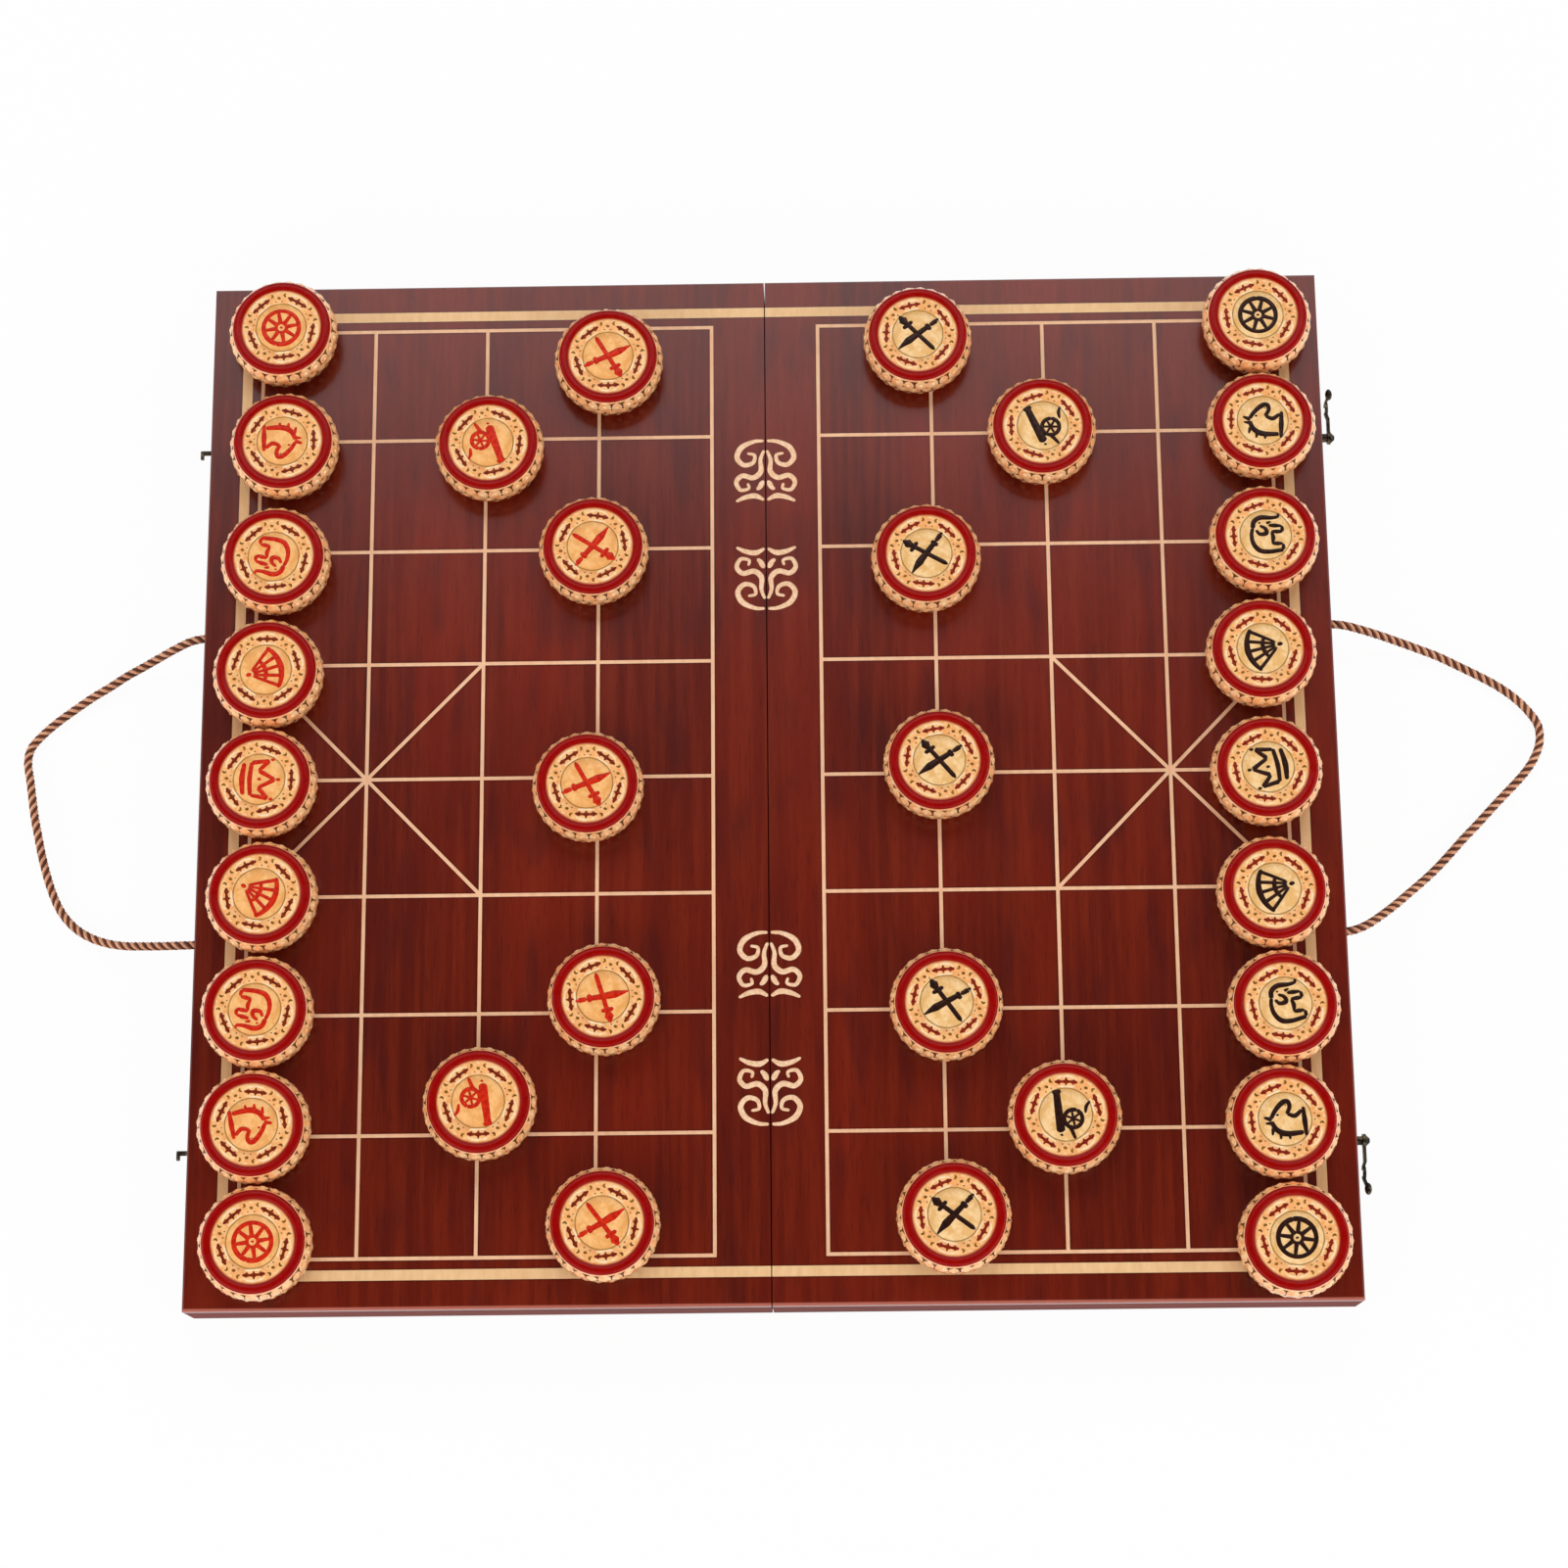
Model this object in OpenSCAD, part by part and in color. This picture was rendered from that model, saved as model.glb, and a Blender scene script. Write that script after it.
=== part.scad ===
// Folding xiangqi box: two shallow trays hinged along their rims, laid open with the playing board up.
// X runs across the board from one player to the other, Y from the front edge to the back edge, Z up.
// The origin is on the table below the middle of the seam, and every length is in millimetres.

/* [Chess pieces] */
// Diameter of a chess piece at its widest
piece_d = 50; // [42:0.5:58]
// Thickness of a chess piece over its ring
piece_h = 18; // [15:0.5:22]
// Height of a piece's widest level above its foot
belly_h = 9; // [7:0.5:10]
// How far a piece's foot is drawn in from its widest level
side_bulge = 5; // [3:0.25:7]
// Width of the raised ring on a piece's face
ring_w = 4.4; // [3:0.1:6]
// Distance from a piece's widest level in to the outer edge of its ring
ring_inset = 2.6; // [2:0.1:2.8]
// How far the ring stands above the face inside it
ring_rise = 0.6; // [0.3:0.1:1]
// Height of the ring's crown above the edge where the side ends
ring_h = 1.6; // [1.2:0.1:2.4]
// Radius of the fine circle cut round the mark
circle_r = 11.5; // [9:0.5:14]
// Depth of the fine circle
circle_depth = 0.4; // [0.2:0.1:0.8]
// Width of the fine circle
circle_w = 0.6; // [0.4:0.1:1]

/* [Playing field] */
// Free space between two pieces on neighbouring files
file_gap = 3.5; // [2:0.5:10]
// Free space between two pieces on neighbouring ranks
rank_gap = 1.8; // [1:0.2:10]
// Width of the river, between its two banks
river_w = 49; // [30:1:70]
// Width of a grid line
line_w = 1.6; // [1:0.1:3]
// Depth of the lines and of the border band in the board
line_t = 0.3; // [0.2:0.1:0.6]
// Width of the border band
band_w = 4.6; // [2:0.2:7]
// Distance from the outermost grid line to the middle of the border band
band_offset = 7.1; // [5.5:0.1:9]
// Bare board beyond the outermost rank
end_margin = 23.3; // [14:0.1:40]
// Bare board beyond the outermost file
side_margin = 22; // [14:0.5:40]

/* [Trays] */
// Thickness of a tray wall
wall_t = 10; // [8:0.5:14]
// Height of a tray wall
wall_h = 25; // [22:0.5:40]
// Thickness of a board panel
panel_t = 5; // [3:0.5:10]
// Chamfer along the panel's outer top edges
panel_chamfer = 0.8; // [0.3:0.1:1.5]
// Gap between the two trays along the seam
seam_gap = 0.5; // [0.4:0.1:1.5]
// Gap between the two rims when the box is shut
shut_gap = 0.2; // [0.1:0.05:0.4]

/* [Hinges] */
// Length of a hinge
hinge_l = 40; // [30:1:60]
// Distance from a tray's end to the middle of the hinge near it
hinge_inset = 96; // [50:1:150]
// Outer diameter of a hinge knuckle
knuckle_d = 3.5; // [3:0.1:5]
// Gap between two neighbouring knuckles
knuckle_gap = 0.3; // [0.2:0.05:0.5]
// Diameter of a hinge pin
pin_d = 1.6; // [1.2:0.1:2]
// Radial play of a pin in a knuckle
pin_play = 0.05; // [0.02:0.01:0.1]
// Diameter of a hinge pin's heads
pin_head_d = 2.8; // [2.4:0.1:2.9]
// Thickness of a hinge pin's heads
pin_head_t = 0.8; // [0.5:0.1:1.2]
// Thickness of a hinge leaf
leaf_t = 1.2; // [0.9:0.1:1.6]
// Wood left beyond a leaf on the rim
leaf_margin = 2; // [1:0.25:3]
// Distance between neighbouring screws in a leaf
screw_step = 13; // [10:0.5:14]
// Diameter of a hinge screw's shank
screw_d = 2; // [1.6:0.1:2.4]
// Diameter of a hinge screw's head
screw_head_d = 3.8; // [3.4:0.1:4]
// Width of the slot in a screw's head
slot_w = 0.6; // [0.4:0.1:0.8]
// Depth of that slot
slot_depth = 0.4; // [0.2:0.1:0.6]
// Length of a hinge screw
screw_l = 9; // [6:0.5:12]

/* [Latches] */
// Distance from a tray's end to the latch or catch near it
latch_inset = 72; // [30:1:90]
// Height of a latch pivot or a catch above the rim
latch_h = 7; // [6:0.5:9]
// Width of the plate under a pivot or a catch
plate_w = 6; // [5:0.25:9]
// Thickness of that plate
plate_t = 1; // [0.6:0.1:1.4]
// Distance between the two nails of a plate
nail_step = 7.5; // [6.5:0.25:8]
// Diameter of a nail's shank
nail_d = 1.2; // [0.8:0.1:1.4]
// Diameter of a nail's head
nail_head_d = 2.2; // [1.8:0.1:2.4]
// Diameter of the flat top of a nail's head
nail_top_d = 1.3; // [0.8:0.1:1.8]
// Height of a nail's head
nail_head_t = 0.6; // [0.4:0.1:1]
// Length of a nail below its head
nail_l = 7; // [5:0.5:9]
// Distance from the wall to the arm of a latch hook
arm_stand = 5.6; // [5:0.1:6.5]
// Thickness of a hook's arm
arm_t = 1.4; // [0.8:0.1:1.6]
// Width of a hook's arm
arm_w = 2.4; // [1.8:0.1:3]
// How far the arm dips towards the wall where it takes the catch
arm_dip = 0.7; // [0.3:0.1:1.2]
// Length over which the arm bends down to that dip
bend_l = 2; // [1:0.25:3]
// Outer diameter of the eye that turns on the pivot
eye_d = 6; // [4.4:0.1:6.4]
// Diameter of the pivot in that eye
pivot_d = 2; // [1.6:0.1:2.4]
// Radial play of the pivot in the eye
pivot_play = 0.05; // [0.02:0.01:0.1]
// Diameter of the pivot's head where it meets the arm
pivot_head_d = 5.2; // [4:0.1:5.4]
// Play between the arm and the pivot's shoulder or head
arm_play = 0.1; // [0.05:0.05:0.2]
// Length of a hook from its pivot to its tip
hook_l = 24; // [22:0.5:28]
// Diameter of the knob at a hook's tip
knob_d = 3.2; // [2.6:0.1:3.6]
// Length of that knob
knob_l = 5.4; // [3:0.2:6]
// Diameter of a catch's post
post_d = 2.2; // [1.8:0.1:2.6]
// How far a catch's end is bent over, from the post to the middle of its round tip
lip_l = 2.2; // [1.6:0.1:3]
// Gap between a hooked arm's undipped level and that bent end
lip_play = 0.4; // [0.3:0.1:0.8]
// Clearance round the post in a hook's notch
notch_play = 0.4; // [0.3:0.05:0.6]
// Metal round a hook's notch
notch_wall = 1.4; // [1:0.1:2]
// Distance from the wall to the outermost point of a latch or a catch
latch_reach = 8.8; // [8.4:0.1:10]

/* [Rope handles] */
// Diameter of the rope
rope_d = 4; // [3:0.25:4]
// Distance between the two holes of a handle
rope_pitch = 143; // [100:1:180]
// Height of the rope holes above the rim
rope_h = 15; // [13:0.5:16]
// Radial clearance of the rope in its hole
rope_play = 0.2; // [0.1:0.05:0.5]
// Diameter of the knot behind each hole
knot_d = 9.5; // [8:0.25:11]
// How far a knot's flat side laps over the wall round its hole
knot_lap = 0.4; // [0.2:0.1:1]

/* [Hidden] */
$fn = 64;
eps = 0.01;          // depth of a cut past the face that it opens
ranks = 5;           // crossings from a river bank to a player's edge
files = 9;           // crossings from the front to the back
knuckles = 5;        // knuckles of a hinge, the odd ones on the left leaf
swing_room = 0.35;   // clearance round a knuckle in the walls
end_room = 0.5;      // clearance at a pin's ends in the walls
belly_steps = 8;     // bands that draw the side of a piece
ring_steps = 10;     // bands that draw the ring of a piece
rope_sides = 8;
knob_steps = 8;      // bands that draw the knob of a latch hook

// The playing field
file_step = piece_d + file_gap;
rank_step = piece_d + rank_gap;
bank_x = river_w / 2;
field_x = bank_x + (ranks - 1) * rank_step;
field_y = (files - 1) / 2 * file_step;
tray_x = field_x + end_margin;
tray_y = field_y + side_margin;

// Heights above the table, on which the knuckles stand
axis_z = knuckle_d / 2;
rim_z = axis_z + shut_gap / 2;
panel_z = rim_z + wall_h;
board_z = panel_z + panel_t;
latch_z = rim_z + latch_h;
rope_z = rim_z + rope_h;

// Places along the edges
hinge_y = tray_y - hinge_inset;
latch_y = tray_y - latch_inset;
seam_x = seam_gap / 2;
leaf_w = wall_t - leaf_margin;
leaf_x = knuckle_d / 2 + swing_room;
knuckle_l = (hinge_l - (knuckles - 1) * knuckle_gap) / knuckles;
screw_x = (leaf_x + leaf_w) / 2;

// The latch hook, which takes the catch when the two rims meet
notch_reach = 2 * latch_h + shut_gap;
notch_r = post_d / 2 + notch_play;
arm_head_x = arm_stand + arm_t + arm_play;
lip_x = arm_stand + arm_t + lip_play;

// Where each piece stands: its name, the player's side (-1 left, 1 right), its rank counted from that
// player's edge, its file counted from the middle, and how far off the crossing it was set down, to the
// right and to the back, in hundredths of its diameter
PIECES = [
    ["red_general", -1, 0, 0, 13, -7],
    ["red_advisor_front", -1, 0, -1, 16, -4],
    ["red_advisor_back", -1, 0, 1, 16, -13],
    ["red_elephant_front", -1, 0, -2, 15, 0],
    ["red_elephant_back", -1, 0, 2, 20, -14],
    ["red_horse_front", -1, 0, -3, 15, 6],
    ["red_horse_back", -1, 0, 3, 25, -11],
    ["red_chariot_front", -1, 0, -4, 19, 12],
    ["red_chariot_back", -1, 0, 4, 21, -8],
    ["red_cannon_front", -1, 2, -3, 4, 24],
    ["red_cannon_back", -1, 2, 3, 5, -15],
    ["red_soldier_1", -1, 3, -4, 8, 25],
    ["red_soldier_2", -1, 3, -2, 8, 8],
    ["red_soldier_3", -1, 3, 0, -7, -14],
    ["red_soldier_4", -1, 3, 2, -3, -8],
    ["red_soldier_5", -1, 3, 4, 10, -40],
    ["black_general", 1, 0, 0, -21, -7],
    ["black_advisor_front", 1, 0, -1, -20, -10],
    ["black_advisor_back", 1, 0, 1, -21, -5],
    ["black_elephant_front", 1, 0, -2, -15, -5],
    ["black_elephant_back", 1, 0, 2, -14, -6],
    ["black_horse_front", 1, 0, -3, -20, 1],
    ["black_horse_back", 1, 0, 3, -12, -4],
    ["black_chariot_front", 1, 0, -4, -14, 6],
    ["black_chariot_back", 1, 0, 4, -12, -9],
    ["black_cannon_front", 1, 2, -3, -1, 7],
    ["black_cannon_back", 1, 2, 3, -4, -6],
    ["black_soldier_1", 1, 3, -4, 5, 29],
    ["black_soldier_2", 1, 3, -2, 2, 0],
    ["black_soldier_3", 1, 3, 0, 0, 3],
    ["black_soldier_4", 1, 3, 2, -8, -19],
    ["black_soldier_5", 1, 3, 4, -12, -23],
];

// Routes of the two ropes between their holes: the distance from the outer wall, the place along Y and
// the height above the table. Each lies in an open loop with one bend, and rises a little where the two
// cross when the box is shut.
LEFT_ROUTE = [
    [8, 70.5, 16.6], [16, 67.5, 14.8], [24, 64, 12], [32, 60.5, 9], [40, 57, 6.3], [48, 52.5, 4.2],
    [56, 48, 3], [64, 42.5, 2.4], [72, 36.5, 2.2], [79, 30, 2.3], [83.5, 24, 2.6], [84.5, 17, 3],
    [83, 9, 3.6], [81.5, 0, 4.1], [80, -9, 4.1], [78, -18, 3.9], [76, -27, 3.4], [73.5, -36, 2.8],
    [70.5, -44.5, 2.4], [66.5, -52.5, 2.2], [60.5, -59.5, 2.4], [53, -64.5, 3], [44.5, -67.7, 4.4],
    [36, -69.5, 6.8], [28, -70.3, 9.8], [20, -71, 12.9], [12, -71.4, 15.4], [5, -71.5, 16.6],
];
RIGHT_ROUTE = [
    [8, 70.8, 16.5], [16.5, 69, 14.6], [25, 67.2, 11.4], [34, 65, 8], [43, 62.4, 5.2], [52, 59.3, 3.4],
    [61, 55, 2.5], [70, 50.3, 2.2], [78.5, 45.3, 2.2], [86, 39.5, 2.3], [92, 33, 2.4], [96, 26, 2.6],
    [96, 18, 3], [93, 10.5, 3.5], [88.5, 4, 4], [83, -2, 4.2], [77, -8, 4.2], [71, -14.2, 4],
    [65, -20.5, 3.4], [58.5, -27, 2.8], [52.5, -33.5, 2.5], [46, -40.2, 3], [39.5, -46.2, 4.6],
    [32.5, -52.2, 7.2], [25.5, -58.2, 10.4], [18.5, -63.6, 13.4], [12, -68, 15.4], [5.5, -70.8, 16.6],
];

// Draws the children on the right tray as they are, and on the left tray mirrored across the seam
module on_side(side) {
    mirror([side < 0 ? 1 : 0, 0, 0]) children();
}

// Draws the children once at the back and once, mirrored, at the front
module back_and_front() {
    children();
    mirror([0, 1, 0]) children();
}

// The lines of one half of the field: ranks, files and the two diagonals of the palace
module field_lines() {
    half = line_w / 2;
    for (i = [0 : ranks - 1])
        translate([bank_x + i * rank_step - half, -field_y - half]) square([line_w, 2 * field_y + line_w]);
    for (j = [0 : files - 1])
        translate([bank_x - half, -field_y + j * file_step - half])
            square([(ranks - 1) * rank_step + line_w, line_w]);
    palace_x = field_x - rank_step;
    diagonal = atan2(file_step, rank_step);
    for (turn = [diagonal, -diagonal])
        translate([palace_x, 0]) rotate(turn)
            square([2 * norm([file_step, rank_step]), line_w], center = true);
}

// The band round one half of the field, open at the seam
module border_band() {
    outer_x = field_x + band_offset + band_w / 2;
    outer_y = field_y + band_offset + band_w / 2;
    difference() {
        translate([seam_x, -outer_y]) square([outer_x - seam_x, 2 * outer_y]);
        translate([0, -outer_y + band_w]) square([outer_x - band_w, 2 * (outer_y - band_w)]);
    }
}

module grid_lines(side) {
    color("wheat") on_side(side) translate([0, 0, board_z - line_t]) linear_extrude(line_t) {
        field_lines();
        border_band();
    }
}

// A triangular prism along X whose corner at the origin cuts a chamfer
module chamfer_cut(l) {
    rotate([90, 0, 90]) translate([0, 0, -l / 2]) linear_extrude(l)
        polygon([[-panel_chamfer, eps], [eps, eps], [eps, -panel_chamfer]]);
}

module board_panel(side) {
    color("saddlebrown") on_side(side) difference() {
        translate([seam_x, -tray_y, panel_z]) cube([tray_x - seam_x, 2 * tray_y, panel_t]);
        translate([0, 0, board_z - line_t]) linear_extrude(line_t + eps) {
            field_lines();
            border_band();
        }
        back_and_front() translate([0, tray_y, board_z]) chamfer_cut(3 * tray_x);
        translate([tray_x, 0, board_z]) rotate(-90) chamfer_cut(3 * tray_y);
    }
}

// Mitred walls of the right tray, seen from above
module outer_wall_plan() {
    polygon([[tray_x, -tray_y], [tray_x, tray_y], [tray_x - wall_t, tray_y - wall_t],
        [tray_x - wall_t, wall_t - tray_y]]);
}

module hinge_wall_plan() {
    polygon([[seam_x, tray_y], [seam_x, -tray_y], [seam_x + wall_t, wall_t - tray_y],
        [seam_x + wall_t, tray_y - wall_t]]);
}

module back_wall_plan() {
    polygon([[tray_x, tray_y], [seam_x, tray_y], [seam_x + wall_t, tray_y - wall_t],
        [tray_x - wall_t, tray_y - wall_t]]);
}

// Draws the children at a latch or catch, with X pointing out of the wall
module at_latch() {
    translate([tray_x, latch_y, latch_z]) children();
}

// Draws the children at each of the two nails of a plate, pointing out of the wall
module at_nails() {
    for (z = [-nail_step / 2, nail_step / 2]) translate([0, 0, z]) rotate([0, 90, 0]) children();
}

module outer_wall(side) {
    color("sienna") on_side(side) difference() {
        translate([0, 0, rim_z]) linear_extrude(wall_h) outer_wall_plan();
        back_and_front() {
            translate([tray_x - wall_t - eps, rope_pitch / 2, rope_z]) rotate([0, 90, 0])
                cylinder(h = wall_t + 2 * eps, d = rope_d + 2 * rope_play);
            at_latch() at_nails() translate([0, 0, plate_t - nail_l]) cylinder(h = nail_l, d = nail_d);
        }
    }
}

// Draws the children at the middle of the back hinge, on its axis
module at_hinge() {
    translate([0, hinge_y, axis_z]) children();
}

// Draws the children at each screw of a leaf, pointing down out of the rim
module at_screws() {
    for (y = [-screw_step, 0, screw_step])
        translate([screw_x, y, rim_z - axis_z]) mirror([0, 0, 1]) children();
}

module hinge_wall(side) {
    cut_l = hinge_l + 2 * (pin_head_t + end_room);
    color("sienna") on_side(side) difference() {
        translate([0, 0, rim_z]) linear_extrude(wall_h) hinge_wall_plan();
        back_and_front() at_hinge() {
            rotate([90, 0, 0]) cylinder(h = cut_l, r = leaf_x, center = true);
            translate([0, -hinge_l / 2, rim_z - axis_z - eps]) cube([leaf_w, hinge_l, leaf_t + eps]);
            at_screws() translate([0, 0, -screw_l]) cylinder(h = screw_l, d = screw_d);
        }
    }
}

module end_wall(side, end) {
    color("sienna") on_side(side) mirror([0, end < 0 ? 1 : 0, 0])
        translate([0, 0, rim_z]) linear_extrude(wall_h) back_wall_plan();
}

// A countersunk screw that points up, with its flat head in the plane z = 0
module screw_body() {
    head_t = (screw_head_d - screw_d) / 2;
    translate([0, 0, -head_t]) cylinder(h = head_t, d1 = screw_d, d2 = screw_head_d);
    translate([0, 0, -screw_l]) cylinder(h = screw_l - head_t + eps, d = screw_d);
}

module hinge_screws(side) {
    color("darkgoldenrod") on_side(side) back_and_front() at_hinge() at_screws() difference() {
        screw_body();
        translate([-screw_head_d, -slot_w / 2, -slot_depth])
            cube([2 * screw_head_d, slot_w, slot_depth + eps]);
    }
}

// Knuckles first to last are counted from the front, and the left leaves carry the first
module hinge_leaf(side) {
    own = side < 0 ? 0 : 1;
    difference() {
        union() {
            translate([leaf_x, -hinge_l / 2, rim_z - axis_z]) cube([leaf_w - leaf_x, hinge_l, leaf_t]);
            for (k = [own : 2 : knuckles - 1]) {
                y = -hinge_l / 2 + k * (knuckle_l + knuckle_gap);
                translate([0, y + knuckle_l, 0]) rotate([90, 0, 0]) cylinder(h = knuckle_l, d = knuckle_d);
                translate([0, y, rim_z - axis_z]) cube([leaf_x + eps, knuckle_l, leaf_t]);
            }
        }
        rotate([90, 0, 0]) cylinder(h = 2 * hinge_l, d = pin_d + 2 * pin_play, center = true);
        at_screws() screw_body();
    }
}

module hinge_leaves(side) {
    color("darkgoldenrod") on_side(side) back_and_front() at_hinge() hinge_leaf(side);
}

module hinge_pins() {
    color("goldenrod") back_and_front() at_hinge() rotate([90, 0, 0]) {
        cylinder(h = hinge_l, d = pin_d, center = true);
        for (end = [0, 1]) mirror([0, 0, end]) translate([0, 0, hinge_l / 2 - eps])
            cylinder(h = pin_head_t + eps, d = pin_head_d);
    }
}

// A plate with round ends on the wall, drilled for its two nails
module latch_plate() {
    difference() {
        rotate([0, 90, 0]) {
            translate([-nail_step / 2, -plate_w / 2, 0]) cube([nail_step, plate_w, plate_t]);
            for (x = [-nail_step / 2, nail_step / 2]) translate([x, 0, 0])
                cylinder(h = plate_t, d = plate_w);
        }
        at_nails() translate([0, 0, -eps]) cylinder(h = plate_t + 2 * eps, d = nail_d);
    }
}

module nails(side) {
    color("dimgray") on_side(side) back_and_front() at_latch() at_nails() {
        translate([0, 0, plate_t - nail_l]) cylinder(h = nail_l, d = nail_d);
        translate([0, 0, plate_t]) cylinder(h = nail_head_t, d1 = nail_head_d, d2 = nail_top_d);
    }
}

module latch_bases() {
    shoulder_d = (pivot_d + eye_d) / 2;
    color("dimgray") back_and_front() at_latch() {
        latch_plate();
        rotate([0, 90, 0]) {
            translate([0, 0, plate_t - eps])
                cylinder(h = arm_stand - arm_play - plate_t + eps, d = shoulder_d);
            cylinder(h = arm_head_x + eps, d = pivot_d);
            translate([0, 0, arm_head_x])
                cylinder(h = latch_reach - arm_head_x, d1 = pivot_head_d, d2 = pivot_d);
        }
    }
}

// An oval knob along Z
module hook_knob() {
    rotate_extrude() polygon([for (i = [0 : knob_steps]) let (a = 180 * i / knob_steps)
        [knob_d / 2 * sin(a), -knob_l / 2 * cos(a)]]);
}

// The hook lies along Y from its pivot, with its notch open downwards
module latch_hook() {
    low_x = arm_stand - arm_dip;
    knob_x = latch_reach - knob_d / 2;
    knob_y = hook_l - knob_l / 2;
    lobe_d = 2 * (notch_r + notch_wall);
    bend_y = notch_reach - lobe_d / 2 - bend_l;
    rise_y = notch_reach + lobe_d / 2;
    inner = [[0, arm_stand], [bend_y, arm_stand], [notch_reach - lobe_d / 2, low_x], [rise_y, low_x],
        [knob_y, knob_x - arm_t / 2]];
    outer = [for (i = [len(inner) - 1 : -1 : 0]) inner[i] + [0, arm_t]];
    difference() {
        union() {
            rotate([0, 90, 0]) translate([0, 0, arm_stand]) cylinder(h = arm_t, d = eye_d);
            translate([0, 0, arm_w / 2]) rotate([180, 0, 0]) rotate(-90) linear_extrude(arm_w)
                polygon(concat(inner, outer));
            translate([low_x, notch_reach, 0]) rotate([0, 90, 0]) cylinder(h = arm_t, d = lobe_d);
            translate([knob_x, knob_y, 0]) rotate([90, 0, 0]) hook_knob();
        }
        rotate([0, 90, 0]) cylinder(h = 2 * latch_reach, d = pivot_d + 2 * pivot_play);
        translate([0, notch_reach, 0]) rotate([0, 90, 0]) cylinder(h = arm_stand + arm_t, r = notch_r);
        translate([0, notch_reach - notch_r, -lobe_d]) cube([arm_stand + arm_t, 2 * notch_r, lobe_d]);
    }
}

module front_latch_hook() {
    color("gray") mirror([0, 1, 0]) at_latch() latch_hook();
}

module back_latch_hook() {
    color("gray") at_latch() latch_hook();
}

// A post whose end is bent over to keep the hook on it, towards the front on both catches
module latch_catches() {
    color("dimgray") on_side(-1) for (y = [-latch_y, latch_y]) translate([tray_x, y, latch_z]) {
        latch_plate();
        rotate([0, 90, 0]) cylinder(h = latch_reach, d = post_d);
        translate([lip_x, -lip_l, -post_d / 2]) cube([latch_reach - lip_x, lip_l, post_d]);
        translate([lip_x, -lip_l, 0]) rotate([0, 90, 0]) cylinder(h = latch_reach - lip_x, d = post_d);
    }
}

// Both holes of a handle as points of its route, from the inside of the wall
function rope_ends(y) = [[-wall_t, y, rope_z], [0, y, rope_z]];
function reversed(list) = [for (i = [len(list) - 1 : -1 : 0]) list[i]];
function rope_points(route) = [
    for (p = concat(rope_ends(rope_pitch / 2), route, reversed(rope_ends(-rope_pitch / 2))))
        p + [tray_x, 0, 0]
];
// Direction of the rope at each point, square to the wall at both ends
function unit(v) = v / norm(v);
function heading(points, i) =
    i == 0 ? unit(points[1] - points[0])
    : i == len(points) - 1 ? unit(points[i] - points[i - 1])
    : unit(unit(points[i + 1] - points[i]) + unit(points[i] - points[i - 1]));
// A ring of points round the rope, with the first corner level
function rope_ring(p, along) =
    let (level = unit(cross([0, 0, 1], along)), up = cross(along, level))
    [for (k = [0 : rope_sides - 1]) let (a = 360 * k / rope_sides)
        p + rope_d / 2 * (cos(a) * level + sin(a) * up)];

module rope_tube(points) {
    n = len(points);
    rings = [for (i = [0 : n - 1]) rope_ring(points[i], heading(points, i))];
    sides = [for (i = [0 : n - 2], k = [0 : rope_sides - 1])
        let (a = i * rope_sides + k, b = i * rope_sides + (k + 1) % rope_sides)
        for (t = [[a, a + rope_sides, b], [b, a + rope_sides, b + rope_sides]]) t];
    first = [for (k = [1 : rope_sides - 2]) [0, k, k + 1]];
    last = [for (k = [1 : rope_sides - 2]) (n - 1) * rope_sides * [1, 1, 1] + [0, k + 1, k]];
    polyhedron([for (ring = rings, p = ring) p], concat(sides, first, last));
}

module rope_handle(side, route) {
    color("peru") on_side(side) rope_tube(rope_points(route));
}

// A knot is a ball pulled flat against the inside of the wall
module rope_knots(side) {
    flat_r = rope_d / 2 + rope_play + knot_lap;
    centre = sqrt(pow(knot_d / 2, 2) - pow(flat_r, 2));
    color("peru") on_side(side) back_and_front()
        translate([tray_x - wall_t, rope_pitch / 2, rope_z]) rotate([0, -90, 0]) difference() {
            translate([0, 0, centre]) sphere(d = knot_d);
            translate([-knot_d, -knot_d, -2 * knot_d]) cube(2 * knot_d);
        }
}

// Half section of a piece: foot, bulging side, raised ring, face and the fine circle round the mark
function piece_section() =
    let (
        r = piece_d / 2,
        foot_r = r - side_bulge,
        ring_r = r - ring_inset - ring_w / 2,
        face_h = piece_h - ring_rise,
        ring_base = piece_h - ring_h,
        edge_turn = acos((r - ring_inset - foot_r) / side_bulge),
        upper = (ring_base - belly_h) / sin(edge_turn),
        face_turn = 180 - asin((face_h - ring_base) / ring_h)
    )
    concat(
        [[0, 0]],
        [for (i = [0 : belly_steps]) let (a = -90 + 90 * i / belly_steps)
            [foot_r + side_bulge * cos(a), belly_h * (1 + sin(a))]],
        [for (i = [1 : belly_steps]) let (a = edge_turn * i / belly_steps)
            [foot_r + side_bulge * cos(a), belly_h + upper * sin(a)]],
        [for (i = [1 : ring_steps]) let (a = face_turn * i / ring_steps)
            [ring_r + ring_w / 2 * cos(a), ring_base + ring_h * sin(a)]],
        [[circle_r + circle_w / 2, face_h], [circle_r + circle_w / 2, face_h - circle_depth],
            [circle_r - circle_w / 2, face_h - circle_depth], [circle_r - circle_w / 2, face_h],
            [0, face_h]]
    );

module chess_piece(p) {
    hundredth = piece_d / 100;
    x = p[1] * (field_x - p[2] * rank_step) + p[4] * hundredth;
    y = p[3] * file_step + p[5] * hundredth;
    color(p[1] < 0 ? "goldenrod" : "khaki") translate([x, y, board_z]) rotate_extrude()
        polygon(piece_section());
}

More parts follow.
